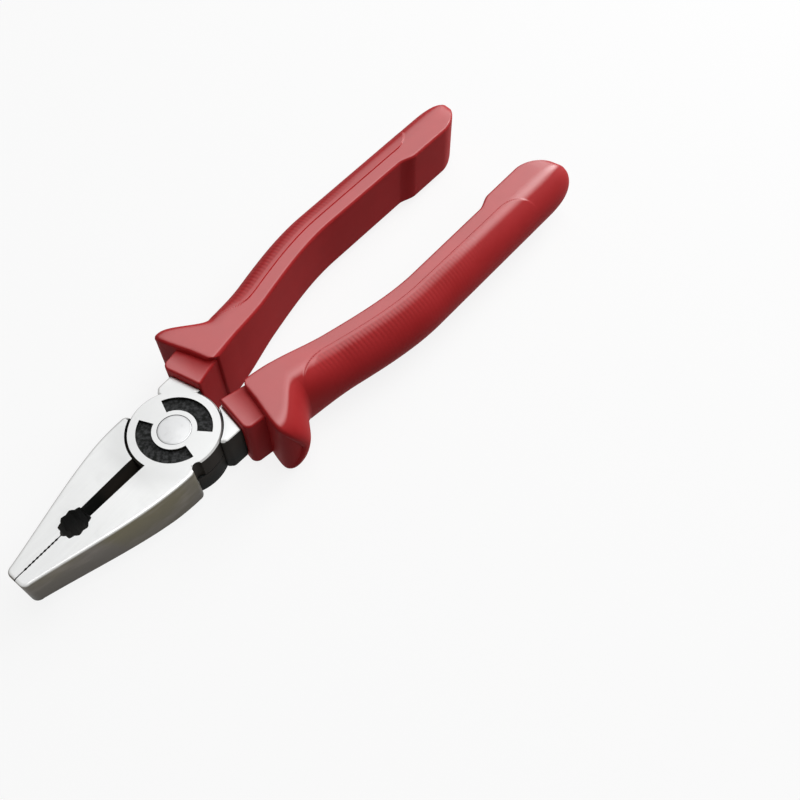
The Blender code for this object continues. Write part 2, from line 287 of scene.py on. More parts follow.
# Node trees.
class Link:
    """A node's output that can stand in a Python sum."""

    def __init__(self, tree, socket):
        self.tree = tree
        self.socket = socket

    def _sum(self, operation, first, second):
        return self.tree.node("ShaderNodeMath", {"operation": operation}, {0: first, 1: second})

    def __add__(self, other):
        return self._sum("ADD", self, other)

    __radd__ = __add__

    def __sub__(self, other):
        return self._sum("SUBTRACT", self, other)

    def __rsub__(self, other):
        return self._sum("SUBTRACT", other, self)

    def __mul__(self, other):
        return self._sum("MULTIPLY", self, other)

    __rmul__ = __mul__

    def __truediv__(self, other):
        return self._sum("DIVIDE", self, other)


class Tree:
    """A node tree that is filled one call at a time."""

    def __init__(self, tree):
        self.tree = tree
        self.tree.nodes.clear()

    def node(self, kind, settings=None, values=None, out=0):
        """Add a node with its settings and its sockets' values or links; gives one output."""
        made = self.tree.nodes.new(kind)
        for name, value in (settings or {}).items():
            setattr(made, name, value)
        for key, value in (values or {}).items():
            if isinstance(value, Link):
                self.tree.links.new(value.socket, made.inputs[key])
            else:
                made.inputs[key].default_value = value
        return Link(self, made.outputs[out]) if made.outputs else made

    def blend(self, factor, first, second):
        """Mix two colours."""
        return self.node("ShaderNodeMix", {"data_type": "RGBA"},
                         {0: factor, 6: first, 7: second}, out=2)

    def step(self, value, low, high):
        """Smooth step of a value between two limits."""
        return self.node("ShaderNodeMapRange", {"interpolation_type": "SMOOTHSTEP"},
                         {"Value": value, "From Min": low, "From Max": high})

    def noise(self, place, scale, detail=2.0, roughness=0.5):
        """Noise from 0 to 1 at a place."""
        return self.node("ShaderNodeTexNoise", None, {
            "Vector": place, "Scale": scale, "Detail": detail, "Roughness": roughness})

    def place(self, scale=(1.0, 1.0, 1.0)):
        """Object coordinates, drawn out along the axes that have a small scale."""
        place = self.node("ShaderNodeTexCoord", out=3)
        return self.node("ShaderNodeMapping", None, {"Vector": place, "Scale": scale})

    def radius(self):
        """Distance from the joint's axis."""
        place = self.node("ShaderNodeMapping", None, {
            "Vector": self.node("ShaderNodeTexCoord", out=3), "Location": -PIVOT})
        flat = self.node("ShaderNodeVectorMath", {"operation": "MULTIPLY"},
                         {0: place, 1: (1, 1, 0)})
        return self.node("ShaderNodeVectorMath", {"operation": "LENGTH"}, {0: flat}, out=1)

    def ridge(self, along, pitch):
        """Rounded wave with one crest in each pitch: 1 on the rib and 0 in the valley."""
        wave = self.node("ShaderNodeMath", {"operation": "FRACT"}, {0: along / pitch})
        slope = self.node("ShaderNodeMath", {"operation": "ABSOLUTE"}, {0: wave * 2 - 1})
        return self.step(slope, *RIB_RIDGE)

    def attribute(self, name, out=2):
        """A mesh attribute, as a number unless another output is asked for."""
        return self.node("ShaderNodeAttribute", {"attribute_name": name}, out=out)

    def bump(self, height, strength, distance):
        """Normal bent by a height."""
        return self.node("ShaderNodeBump", None, {
            "Height": height, "Strength": strength, "Distance": distance})

    def surface(self, shader):
        """End a material in its shader."""
        self.node("ShaderNodeOutputMaterial", None, {"Surface": shader})


# Finishes.
def new_material(name):
    """Empty material and its node tree."""
    mat = bpy.data.materials.new(name)
    mat.use_nodes = True
    return mat, Tree(mat.node_tree)


def rgba(colour, share=1.0):
    """Opaque colour at a share of its brightness."""
    return (*(c * share for c in colour), 1.0)


def steel_material(look):
    """Ground faces, satin flanks and blackened hollows, told apart by the finish attribute, with
    painted shade round the joint and low on the flanks.
    """
    mat, tree = new_material("forged_steel_finish")
    masks = tree.node("ShaderNodeSeparateColor", None, {"Color": tree.attribute("finish", 0)})
    split = masks.socket.node.outputs
    ground, black, sunk = (Link(tree, split[k]) for k in range(3))
    brush = tree.noise(tree.place((40.0, 2600.0, 2600.0)), 1.0, 3.0, 0.6)
    cloud = tree.noise(tree.place(), 160.0, 3.0, 0.55)
    speck = tree.noise(tree.place(), 900.0, 4.0, 0.6)

    bright = tree.blend(brush, rgba(look.ground, 0.93), rgba(look.ground))
    bright = tree.blend(tree.step(cloud, 0.52, 0.78) * 0.35, bright, rgba(look.ground, 0.8))
    # Painted shade: the ground colour darkens round the joint, for a dimmer reflection there.
    joint_shade = 1 - tree.step(tree.radius(), *(MM * reach for reach in JOINT_SHADE_REACH))
    bright = tree.blend(joint_shade, bright, rgba(look.ground, 0.75))
    patch = tree.noise(tree.place(), 48.0, 2.0, 0.5)
    along, _, height = (Link(tree, out) for out in tree.node(
        "ShaderNodeSeparateXYZ", None, {0: tree.place()}).socket.node.outputs)
    flank = tree.blend(tree.step(patch, 0.42, 0.6), rgba(look.flank), rgba(look.flank_tint))
    flank = tree.blend(brush * 0.5, flank, rgba(look.flank, 0.72))
    smear = tree.noise(tree.place((70.0, 70.0, 190.0)), 1.0, 3.0, 0.55)
    flank = tree.blend(tree.step(smear, 0.48, 0.72) * 0.6, flank, rgba(look.flank, 1.7))
    # The flanks darken toward the tips.
    worn = tree.step(along, *(PIVOT.x + MM * reach for reach in FLANK_TIPWARD)) * 0.25
    # Painted shade: the flanks darken toward the floor.
    low_shade = (1 - tree.step(height, *(MM * reach for reach in FLANK_LOW_SHADE))) * 0.75
    flank = tree.blend(worn + low_shade, flank, rgba(look.flank, 0.5))
    rust = tree.blend(tree.step(patch, 0.45, 0.62), rgba(look.black), rgba(look.scale))
    dark = tree.blend(tree.step(speck, 0.55, 0.8), rust, rgba(look.black, 2.0))
    band = tree.blend(tree.step(speck, 0.35, 0.7), rgba(look.black), rgba(look.band))
    colour = tree.blend(ground, flank, bright)
    colour = tree.blend(black, colour, dark)
    colour = tree.blend(sunk, colour, band)

    satin = 0.40 + 0.12 * cloud
    polished = 0.24 + 0.14 * brush
    roughness = satin + ground * (polished - satin)
    roughness = roughness + black * (0.56 - roughness)
    shader = tree.node("ShaderNodeBsdfPrincipled", None, {
        "Base Color": colour,
        "Roughness": roughness,
        "Metallic": 0.94 - 0.94 * black,
        "Specular IOR Level": 0.06,
        "Normal": tree.bump(brush + 0.6 * speck, 0.25, 0.00003),
    })
    tree.surface(shader)
    return mat


def rivet_material(look):
    """Ground rivet face with turned rings, a few dull spots and painted shade toward the rounded
    edge of its head.
    """
    mat, tree = new_material("rivet_finish")
    radius = tree.radius()
    turn = tree.node("ShaderNodeMath", {"operation": "SINE"}, {0: radius * RIVET_RINGS})
    cloud = tree.noise(tree.place(), 420.0, 3.0, 0.55)
    dull = tree.step(cloud, 0.5, 0.75)
    colour = tree.blend(dull * 0.5, rgba(look.rivet), rgba(look.rivet, 0.8))
    # Painted shade toward the rounded edge of the rivet's head.
    rim = tree.step(radius, *(MM * reach for reach in RIM_SHADE))
    colour = tree.blend(rim * 0.45, colour, rgba(look.rivet, 0.55))
    shader = tree.node("ShaderNodeBsdfPrincipled", None, {
        "Base Color": colour,
        "Roughness": 0.27 + 0.12 * cloud,
        "Metallic": 1.0,
        "Normal": tree.bump(turn, 0.12, 0.00002),
    })
    tree.surface(shader)
    return mat


def red_material(look, pitch):
    """Satin moulding with painted shade between the ribs; the ribbed panel and the walls are
    duller than the top faces.
    """
    mat, tree = new_material("red_moulding")
    plain = tree.place()
    cloud = tree.noise(plain, 70.0, 3.0, 0.55)
    grain = tree.noise(plain, 2600.0, 2.0, 0.6)
    scuff = tree.noise(tree.place((60.0, 420.0, 420.0)), 1.0, 4.0, 0.6)
    gloss = tree.attribute("gloss")
    ribbed = tree.attribute("ribbed")
    valley = 1 - tree.ridge(tree.attribute("along"), pitch)

    colour = tree.blend(tree.step(cloud, 0.3, 0.7), rgba(look.red), rgba(look.red_light))
    # Painted shade: the valleys between the ribs are darkened.
    colour = tree.blend(ribbed * valley * 0.18, colour, rgba(look.red_deep))
    colour = tree.blend(tree.step(scuff, 0.66, 0.86) * gloss * 0.3, colour, rgba(look.scuff))
    shader = tree.node("ShaderNodeBsdfPrincipled", None, {
        "Base Color": colour,
        "Roughness": 0.62 - 0.14 * gloss + 0.1 * cloud,
        "Specular IOR Level": 0.22,
        "Coat Weight": gloss,
        "Coat Roughness": 0.42,
        "Coat IOR": 1.9,
        "Normal": tree.bump(grain, 0.3, 0.00004),
    })
    tree.surface(shader)
    return mat


# Mesh tools.
def keep(mesh, name):
    """Object from a bmesh, with its faces turned outward."""
    bmesh.ops.recalc_face_normals(mesh, faces=mesh.faces)
    data = bpy.data.meshes.new(name)
    mesh.to_mesh(data)
    mesh.free()
    obj = bpy.data.objects.new(name, data)
    bpy.context.scene.collection.objects.link(obj)
    return obj


def prism(name, outline, low, high):
    """Straight-sided solid over a flat outline."""
    mesh = bmesh.new()
    base = mesh.faces.new([mesh.verts.new((x, y, low)) for x, y in outline])
    raised = bmesh.ops.extrude_face_region(mesh, geom=[base])
    top = [v for v in raised["geom"] if isinstance(v, bmesh.types.BMVert)]
    bmesh.ops.translate(mesh, verts=top, vec=(0, 0, high - low))
    return keep(mesh, name)


def turned(name, profile, steps):
    """Solid of revolution about the joint's axis from radius and height."""
    mesh = bmesh.new()
    verts = [mesh.verts.new((r, 0, z)) for r, z in profile]
    edges = [mesh.edges.new(pair) for pair in zip(verts, verts[1:])]
    bmesh.ops.spin(mesh, geom=verts + edges, cent=(0, 0, 0), axis=(0, 0, 1),
                   angle=2 * math.pi, steps=steps, use_merge=True)
    bmesh.ops.remove_doubles(mesh, verts=mesh.verts, dist=1e-4)
    return keep(mesh, name)


def bevel(obj, width, segments, angle=40):
    """Round the edges that are sharper than an angle in degrees."""
    mod = obj.modifiers.new("edge", "BEVEL")
    mod.width = width
    mod.segments = segments
    mod.limit_method = "ANGLE"
    mod.angle_limit = math.radians(angle)


def settled(obj):
    """Replace an object's mesh by what its modifiers make of it."""
    graph = bpy.context.evaluated_depsgraph_get()
    data = bpy.data.meshes.new_from_object(obj.evaluated_get(graph))
    obj.modifiers.clear()
    obj.data = data


def carve(obj, steps):
    """Unite with or cut away other solids, which are then removed."""
    for operation, other in steps:
        mod = obj.modifiers.new(other.name, "BOOLEAN")
        mod.operation = operation
        mod.solver = "MANIFOLD"
        mod.object = other
    settled(obj)
    for _, other in steps:
        bpy.data.objects.remove(other)


def shade(obj):
    """Smooth between edges, with the large flats left flat."""
    obj.data.shade_smooth()
    obj.data.set_sharp_from_angle(angle=SMOOTH_ANGLE)
    mod = obj.modifiers.new("flats", "WEIGHTED_NORMAL")
    mod.keep_sharp = True
    settled(obj)


def node_group(name, inputs):
    """Geometry tree with named inputs; gives the tree, its nodes and the inputs' links."""
    group = bpy.data.node_groups.new(name, "GeometryNodeTree")
    face = group.interface
    face.new_socket("Geometry", in_out="OUTPUT", socket_type="NodeSocketGeometry")
    for label, kind in inputs:
        face.new_socket(label, in_out="INPUT", socket_type="NodeSocket" + kind)
    tree = Tree(group)
    given = tree.node("NodeGroupInput").socket.node.outputs
    return group, tree, [Link(tree, given[k]) for k in range(len(inputs))]


def close_group(tree, geometry, mat):
    """End a geometry tree in a plain mesh with its material."""
    plain = tree.node("GeometryNodeRealizeInstances", None, {"Geometry": geometry})
    plain = tree.node("GeometryNodeSetMaterial", None, {"Geometry": plain, "Material": mat})
    tree.node("NodeGroupOutput", None, {"Geometry": plain})


def grown(obj, group, inputs):
    """Run a node tree on an object with its inputs set, and keep the plain mesh."""
    mod = obj.modifiers.new(group.name, "NODES")
    mod.node_group = group
    sockets = {item.name: item.identifier for item in group.interface.items_tree
               if item.in_out == "INPUT"}
    for name, value in inputs.items():
        mod[sockets[name]] = value
    settled(obj)
    return obj


def placed(obj, name, mat, turn_over=False):
    """Copy of a solid in metres on the joint's axis, turned over for the lower half."""
    data = obj.data.copy()
    turn = Matrix.Rotation(math.pi if turn_over else 0.0, 4, "X")
    data.transform(Matrix.Translation(PIVOT) @ turn @ Matrix.Scale(MM, 4))
    data.name = name
    data.materials.clear()
    data.materials.append(mat)
    piece = bpy.data.objects.new(name, data)
    bpy.context.scene.collection.objects.link(piece)
    return piece


def join_frame(piece, body, node):
    """Let a piece ride on its body in place of its CAD node."""
    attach(piece, body)
    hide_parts(node)


# Forged halves.
def jaw_edge():
    """Outer side of one jaw in plan, from its rounded shoulder to the rounded tip."""
    start = (SHOULDER[0] + SHOULDER_CORNER, SHOULDER[1])
    end = (REACH - TIP_CORNER, TIP_W)
    side = [(start[0] + x, start[1] - SHOULDER_CORNER + y)
            for x, y in arc(SHOULDER_CORNER, 180, 90, CORNER_STEPS)[:-1]]
    side += [bezier(start, BULGE_A, BULGE_B, end, k / JAW_STEPS) for k in range(JAW_STEPS + 1)]
    return side + [(end[0] + x, end[1] - TIP_CORNER + y)
                   for x, y in arc(TIP_CORNER, 90, 0, CORNER_STEPS)[1:]]


def jaw_outline():
    """Both jaws in plan as one closed outline."""
    side = jaw_edge()
    return side + [(x, -y) for x, y in reversed(side)]


def jaw_side(x):
    """Half width of the closed jaws at a place along them."""
    side = jaw_edge()
    for (x0, y0), (x1, y1) in zip(side, side[1:]):
        if x0 <= x <= x1:
            return mix(y0, y1, (x - x0) / (x1 - x0))
    return side[-1][1]


def head_half(x, size):
    """Half thickness of the head at a place along it."""
    return mix(size.head_thickness, size.tip_thickness,
               max(0.0, (x - TAPER_FROM) / (REACH - TAPER_FROM))) / 2


def head_blank(size):
    """Both jaws as one tapered block with rounded edges."""
    top = size.head_thickness / 2
    blank = prism("head", jaw_outline(), -top, top)
    mesh = bmesh.new()
    mesh.from_mesh(blank.data)
    whole = mesh.verts[:] + mesh.edges[:] + mesh.faces[:]
    bmesh.ops.bisect_plane(mesh, geom=whole, plane_co=(TAPER_FROM, 0, 0), plane_no=(1, 0, 0))
    for vert in mesh.verts:
        vert.co.z *= head_half(vert.co.x, size) / top
    mesh.to_mesh(blank.data)
    mesh.free()
    bevel(blank, HEAD_EDGE, 5)
    return blank


def parting_outline():
    """The far side of the jaw's meeting edge, with its scalloped pipe grip."""
    edge = [(REACH + CUT_OVER, PART)]
    for k in range(GRIP_STEPS + 1):
        angle = math.pi * k / GRIP_STEPS
        tooth = 1 - abs(2 * (GRIP_TEETH * k / GRIP_STEPS % 1.0) - 1)
        reach = 1 - (1 - GRIP_CREST_RATIO) * tooth
        edge.append((GRIP_X + GRIP_LONG * reach * math.cos(angle),
                     PART + GRIP_WIDE * reach * math.sin(angle)))
    return edge + [(-REACH, PART), (-REACH, -REACH), (REACH + CUT_OVER, -REACH)]


def cutter_bevel(name, side, size):
    """Wedge that leaves the cutting edge near mid thickness."""
    top = size.head_thickness / 2
    reach = top + CUT_OVER
    width = CUTTER_W * (reach - CUTTER_LAND) / (top - CUTTER_LAND)
    mesh = bmesh.new()
    ends = [[mesh.verts.new((x, y, side * z)) for y, z in
             ((0.0, CUTTER_LAND), (width, reach), (-width, reach))] for x in CUTTER]
    mesh.faces.new(ends[0])
    mesh.faces.new(ends[1])
    for k in range(3):
        n = (k + 1) % 3
        mesh.faces.new((ends[0][k], ends[0][n], ends[1][n], ends[1][k]))
    return keep(mesh, name)


def tooth_tree():
    """Row of upright diamonds that cut the flat teeth of one jaw."""
    group, tree, given = node_group("tooth_row", (
        ("Count", "Int"), ("Pitch", "Float"), ("Depth", "Float"), ("Height", "Float"),
        ("Start", "Vector"), ("Material", "Material")))
    count, pitch, depth, height, start, mat = given
    step = tree.node("ShaderNodeCombineXYZ", None, {"X": pitch * -1.0})
    line = tree.node("GeometryNodeMeshLine", None, {
        "Count": count, "Start Location": start, "Offset": step})
    bar = tree.node("GeometryNodeMeshCylinder", None, {
        "Vertices": 4, "Radius": 1.0, "Depth": height})
    span = tree.node("ShaderNodeCombineXYZ", None, {
        "X": pitch * TOOTH_FILL / 2, "Y": depth, "Z": 1.0})
    bar = tree.node("GeometryNodeTransform", None, {"Geometry": bar, "Scale": span})
    row = tree.node("GeometryNodeInstanceOnPoints", None, {"Points": line, "Instance": bar})
    close_group(tree, row, mat)
    return group


def tooth_row(size, mat):
    """Cutter for the flat teeth, along the jaw's meeting edge."""
    row = bpy.data.objects.new("tooth_row", bpy.data.meshes.new("tooth_row"))
    bpy.context.scene.collection.objects.link(row)
    first = TEETH_END - size.tooth_pitch / 2
    return grown(row, tooth_tree(), {
        "Count": size.teeth, "Pitch": size.tooth_pitch, "Depth": size.tooth_depth,
        "Height": 2 * size.head_thickness, "Start": (first, PART, 0.0), "Material": mat})


def tang_line(u):
    """Middle of the tang at a distance behind the joint."""
    if u > TANG_MID[0]:
        return TANG_MID[1]
    return hermite(u, (TANG_SLOPE_FROM, TANG_FRONT[1]), TANG_SLOPE, TANG_MID, 0.0)


def tang_outline(clear):
    """Plan of the tang, or of the pocket round it when clear is not zero."""
    near = []
    far = []
    for k in range(TANG_STEPS + 1):
        u = mix(TANG_FRONT[0], TANG_END + clear, k / TANG_STEPS)
        half = mix(*TANG_HALF, k / TANG_STEPS) + clear
        near.append((-u, half - tang_line(u)))
        far.append((-u, -half - tang_line(u)))
    return near + far[::-1]


def relief_outline():
    """Plan of the small notch between the disc and the jaw's shoulder."""
    ring = arc(RELIEF_R, 0, 360, RELIEF_STEPS)[:-1]
    return [(RELIEF[0] + x, RELIEF[1] + y) for x, y in ring]


def forged_half(size, mat):
    """The forging with its lap disc on top: jaw, joint, neck and tang."""
    top = size.head_thickness / 2
    half = head_blank(size)
    settled(half)
    neck = prism("neck", [(x, -y) for x, y in NECK], -top, top)
    bevel(neck, NECK_EDGE, 3)
    settled(neck)
    disc = turned("lap_disc", [(0, -CUT_OVER), (DISC_R, -CUT_OVER), (DISC_R, top - DISC_CHAMFER),
                               (DISC_R - DISC_CHAMFER, top), (0, top)], DISC_STEPS)
    socket = turned("socket", [(0, -2 * top), (DISC_R + GAP, -2 * top), (DISC_R + GAP, PART),
                               (0, PART)], DISC_STEPS)
    seat = top - HEAD_SEAT_T
    high = top + CUT_OVER
    shank = SHANK_R + GAP
    rivet_seat = turned("rivet_seat", [(0, high), (HEAD_SEAT_R, high), (HEAD_SEAT_R, seat),
                                       (shank, seat), (shank, -seat), (HEAD_SEAT_R, -seat),
                                       (HEAD_SEAT_R, -high), (0, -high)], DISC_STEPS)
    steps = [
        ("DIFFERENCE", prism("parting", parting_outline(), -2 * top, 2 * top)),
        ("DIFFERENCE", tooth_row(size, mat)),
        ("DIFFERENCE", cutter_bevel("cutter_top", 1, size)),
        ("DIFFERENCE", cutter_bevel("cutter_under", -1, size)),
        ("UNION", neck),
        ("UNION", disc),
        ("UNION", prism("web", WEB, PART, top)),
        ("UNION", prism("tang", tang_outline(0.0), -TANG_HALF_T, TANG_HALF_T)),
        ("DIFFERENCE", socket),
        ("DIFFERENCE", rivet_seat),
        ("DIFFERENCE", prism("relief", relief_outline(), PART / 2, high)),
    ]
    for number, (start, end) in enumerate(BAND_ARCS):
        ring = arc(BAND[1], start, end, BAND_STEPS) + arc(BAND[0], end, start, BAND_STEPS)
        steps.append(("DIFFERENCE", prism("band_%d" % number, ring, top - size.band_depth, high)))
    carve(half, steps)
    mark_finish(half, size)
    shade(half)
    return half


def finish_of(face, size):
    """Finish of one face: ground, blackened and band floor shares; on the rounded jaw edges the
    ground share is partly a painted highlight.
    """
    x, y, z = face.center
    level = abs(face.normal.z)
    radius = math.hypot(x, y)
    outer = head_half(x, size) - FACE_NEAR
    if BAND[0] - FACE_NEAR < radius < BAND[1] + FACE_NEAR and 0 < z < outer:
        return (0.0, 1.0, 1.0 if level > BAND_LEVEL else 0.0)
    if abs(z) > outer and level > FACE_LEVEL:
        return (1.0, 0.0, 0.0)
    edge = min(jaw_side(x) - abs(y), REACH - x)
    on_jaw = x > SHOULDER[0] and radius > DISC_R + GAP
    # On the rounded jaw edges the ground share grows as the face turns up, partly edge polish and
    # partly a painted highlight, with less on the side away from the lap disc, a painted darker
    # edge.
    if on_jaw and edge < EDGE_REACH and abs(y) > 2 * PART:
        fade = EDGE_SHEEN_FADE[0] if z > 0 else EDGE_SHEEN_FADE[1]
        return (EDGE_POLISH_AND_SHEEN * ease(level, *fade), 0.0, 0.0)
    rounded = level > ROUND_LEVEL and abs(z) > outer - NECK_EDGE
    if rounded and radius > DISC_R - DISC_CHAMFER and x < SHOULDER[0]:
        return (ROUND_WEAR, 0.0, 0.0)
    return (0.0, 1.0, 0.0)


def mark_finish(obj, size):
    """Write each face's finish on its corners."""
    layer = obj.data.color_attributes.new("finish", "FLOAT_COLOR", "CORNER")
    for face in obj.data.polygons:
        share = rgba(finish_of(face, size))
        for loop in face.loop_indices:
            layer.data[loop].color = share


# Moulded sleeves; u is the distance behind the joint.
def inner_line(u):
    """Side of the sleeve toward the other handle."""
    if u < INNER_MID[0]:
        return hermite(u, INNER_FRONT, INNER_SLOPE, INNER_MID, 0.0)
    return INNER_MID[1] - HEEL_IN * smooth((u - HEEL_FROM) / HEEL_RUN)


def outer_line(u):
    """Outer side of the sleeve, from the flared guard over the waist to the body."""
    if u < WAIST[0]:
        return mix(WAIST[1], GUARD_W, ease(u, WAIST[0], FLARE_FROM))
    if u < BODY[0]:
        return hermite(u, WAIST, WAIST_SLOPE, BODY, BODY_SLOPE)
    return BODY[1] + BODY_SLOPE * (u - BODY[0])


def half_height(u, size):
    """Half the height of the sleeve, which falls from the guard to the body."""
    return mix(size.guard_height, size.body_height, ease(u, GUARD_FLAT, BODY_FLAT)) / 2


def panel_reach(u, over, across):
    """How far a place on the section lies inside the grip panel's edge, rounded at both ends."""
    curve = math.sqrt(max(0.0, 1 - (1 - over) ** 2))
    start = PANEL_FROM - PANEL_FROM_ROUND * curve
    end = PANEL_TO + PANEL_TO_ROUND * curve
    return min(across, PANEL_END_EASE * (u - start), PANEL_END_EASE * (end - u))


def rib_share(u, over):
    """Where the ribs of the panel stand out and where they die away."""
    side = mix(1.0, RIBS_SIDE, ease(over, *RIBS_OVER))
    return side * ease(u, *RIBS_FROM) * ease(u, *reversed(RIBS_TO))


def sleeve_section(u, inset, size):
    """Upper edge of the section as y, z, rib and panel share, from the inner wall outward."""
    inner = inner_line(u) + inset
    top = half_height(u, size) - inset
    body = ease(u, GUARD_X, BODY_FLAT)
    reach = mix(GUARD_ROUND, SIDE_ROUND, body)
    power = mix(GUARD_POWER, BODY_POWER, body)
    line = outer_line(u) - inset - reach
    wall = top - INNER_EDGE
    points = [(inner, wall * WALL_MIDDLE), (inner, wall - WALL_TOP)]
    for angle in quarter(EDGE_STEPS):
        away = INNER_EDGE * (1 - math.cos(angle))
        points.append((inner + away, wall + INNER_EDGE * math.sin(angle)))
    flat = inner + INNER_EDGE
    points += [(flat + BORDER_STEP * k, top) for k in range(1, BORDER_POINTS + 1)]
    flat += BORDER_STEP * BORDER_POINTS
    points += [(mix(flat, line, share), top) for share in BORDER_SHARES]
    points = [(y, z, 0.0, 0.0) for y, z in points]
    lip = [math.asin((PANEL_WALL * k / LIP_STEPS / reach) ** (power / 2))
           for k in range(LIP_STEPS + 1)]
    rest = [mix(lip[-1], math.pi / 2, k / ROUND_STEPS) for k in range(1, ROUND_STEPS + 1)]
    for angle in lip + rest:
        over = math.sin(angle) ** (2 / power)
        upright = max(0.0, math.cos(angle)) ** (2 / power)
        inside = panel_reach(u, over, over * reach)
        panel = smooth(inside / PANEL_WALL)
        rise = size.panel_rise * panel * (1 - smooth(over))
        ribbed = rib_share(u, over) * ease(inside, *RIBS_IN)
        points.append((line + (reach + rise) * over, (top + rise) * upright, ribbed, panel))
    points[-1] = (points[-1][0], 0.0, *points[-1][2:])
    return points


def closing(share, power):
    """Size left of a section at a share of the way along the rounded end."""
    return (1 - share**power) ** (1 / power)


def end_ring(u, share, size):
    """Section drawn in toward its middle, and cut back on the side toward the other handle."""
    points = sleeve_section(u, 0.0, size)
    inner = points[0][0]
    width = points[-1][0] - inner
    full = mix(END_MIDDLE, 1.0, closing(END_LAST, END_OUTER_POWER))
    ring = []
    for y, z, *_ in points:
        across = (y - inner) / width
        power = END_INNER_POWER if across < END_MIDDLE else END_OUTER_POWER
        place = mix(END_MIDDLE, across, closing(share, power))
        short = END_SLANT * share * max(0.0, full - place)
        high = z * closing(share, END_UPRIGHT_POWER)
        ring.append((short - u, -inner - width * place, high, 0.0, 0.0, u))
    return ring


def corner(inside, radius):
    """Setback of a rounded corner at a distance inside its side."""
    away = min(max(radius - inside, 0.0), radius)
    return radius - math.sqrt(radius * radius - away * away)


def front_sweep(y, u, inset):
    """How far the guard's front stands forward across its width."""
    forward = GUARD_SWEEP * smooth((y - SWEEP_START) / SWEEP_RUN)
    forward -= corner(y - inner_line(u) - inset, INNER_CORNER)
    return forward - corner(outer_line(u) - inset - y, WING_CORNER)


def sleeve_rings(size):
    """Sections from the swept front of the guard to the rounded end, with rib share and place."""
    ribs = size.rib_pitch / RIB_STEPS
    body_end = TAIL - END_RUN
    panel_start = PANEL_FROM - PANEL_FROM_ROUND
    panel_end = PANEL_TO + PANEL_TO_ROUND + PANEL_MARGIN
    stations = []
    for angle in quarter(FRONT_STEPS):
        back = FRONT_EDGE * (1 - math.cos(angle))
        stations.append((GUARD_X + back, FRONT_EDGE * (1 - math.sin(angle))))
    for start, end, step in ((GUARD_X + FRONT_EDGE, panel_start, RING_STEP),
                             (panel_start, panel_end, ribs),
                             (panel_end, body_end, RING_STEP)):
        count = math.ceil((end - start) / step)
        stations += [(mix(start, end, k / count), 0.0) for k in range(1, count + 1)]
    rings = []
    for u, inset in stations:
        fade = max(0.0, (WAIST[0] - u) / (WAIST[0] - GUARD_X))
        ring = []
        for y, z, *shares in sleeve_section(u, inset, size):
            ring.append((-u + fade * front_sweep(y, u, inset), -y, z, *shares, u))
        rings.append(ring)
    for angle in quarter(END_STEPS)[1:]:
        turn = math.sin(angle)
        rings.append(end_ring(body_end + END_RUN * turn, END_LAST * turn, size))
    return rings


def sleeve_skin(rings):
    """Closed skin over the rings, each mirrored below, with the shares and the place kept."""
    mesh = bmesh.new()
    layers = [mesh.verts.layers.float.new(name) for name in ("ribbed", "panel", "along")]
    loops = []
    for ring in rings:
        loop = []
        for x, y, z, *kept in ring + [(x, y, -z, *kept) for x, y, z, *kept in ring[-2::-1]]:
            vert = mesh.verts.new((x, y, z))
            for layer, value in zip(layers, kept):
                vert[layer] = value
            loop.append(vert)
        loops.append(loop)
    count = len(loops[0])
    for near, far in zip(loops, loops[1:]):
        for k in range(count):
            n = (k + 1) % count
            mesh.faces.new((near[k], near[n], far[n], far[k]))
    for loop in (loops[0], loops[-1]):
        mesh.faces.new(loop[-1 - WALL_POINTS:] + loop[:WALL_POINTS + 1])
        for k in range(WALL_POINTS, count // 2):
            mesh.faces.new(dict.fromkeys((loop[k], loop[k + 1], loop[-2 - k], loop[-1 - k])))
    return keep(mesh, "sleeve_skin")


def rib_tree():
    """Raise ribs along the skin's normals where the rib share says so."""
    group, tree, given = node_group("grip_ribs", (
        ("Skin", "Geometry"), ("Pitch", "Float"), ("Relief", "Float"), ("Material", "Material")))
    skin, pitch, relief, mat = given
    along, share = (tree.node("GeometryNodeInputNamedAttribute", {"data_type": "FLOAT"},
                              {"Name": name}) for name in ("along", "ribbed"))
    height = tree.ridge(along, pitch) * relief * share
    lift = tree.node("ShaderNodeVectorMath", {"operation": "SCALE"},
                     {0: tree.node("GeometryNodeInputNormal"), "Scale": height})
    moved = tree.node("GeometryNodeSetPosition", None, {"Geometry": skin, "Offset": lift})
    close_group(tree, moved, mat)
    return group


def nose_outline():
    """Plan of the low block in front of the guard, its outer front corner rounded."""
    front = []
    for angle in quarter(EDGE_STEPS):
        front.append((NOSE_OUT[0] - NOSE_CORNER * (1 - math.cos(angle)),
                      NOSE_OUT[1] - NOSE_CORNER * (1 - math.sin(angle))))
    return [(x, -y) for x, y in (NOSE_IN, *front, *NOSE_BACK)]


def mark_gloss(obj):
    """Gloss of faces that look up or down, less on the ribs, the panel and its wall."""
    data = obj.data
    layer = data.attributes.new("gloss", "FLOAT", "POINT")
    kept = [data.attributes[name].data for name in ("ribbed", "panel", "along")]
    for vert in data.vertices:
        ribbed, panel, along = (values[vert.index].value for values in kept)
        # The first product is 1 half-way up the panel's wall and 0 on either side of it.
        wall = 4 * panel * (1 - panel) * ease(along, *reversed(SEAM_DULL))
        dull = max(RIB_DULL * ribbed, PANEL_DULL * panel, wall)
        layer.data[vert.index].value = ease(abs(vert.normal.z), *GLOSS_LEVEL) * (1 - dull)


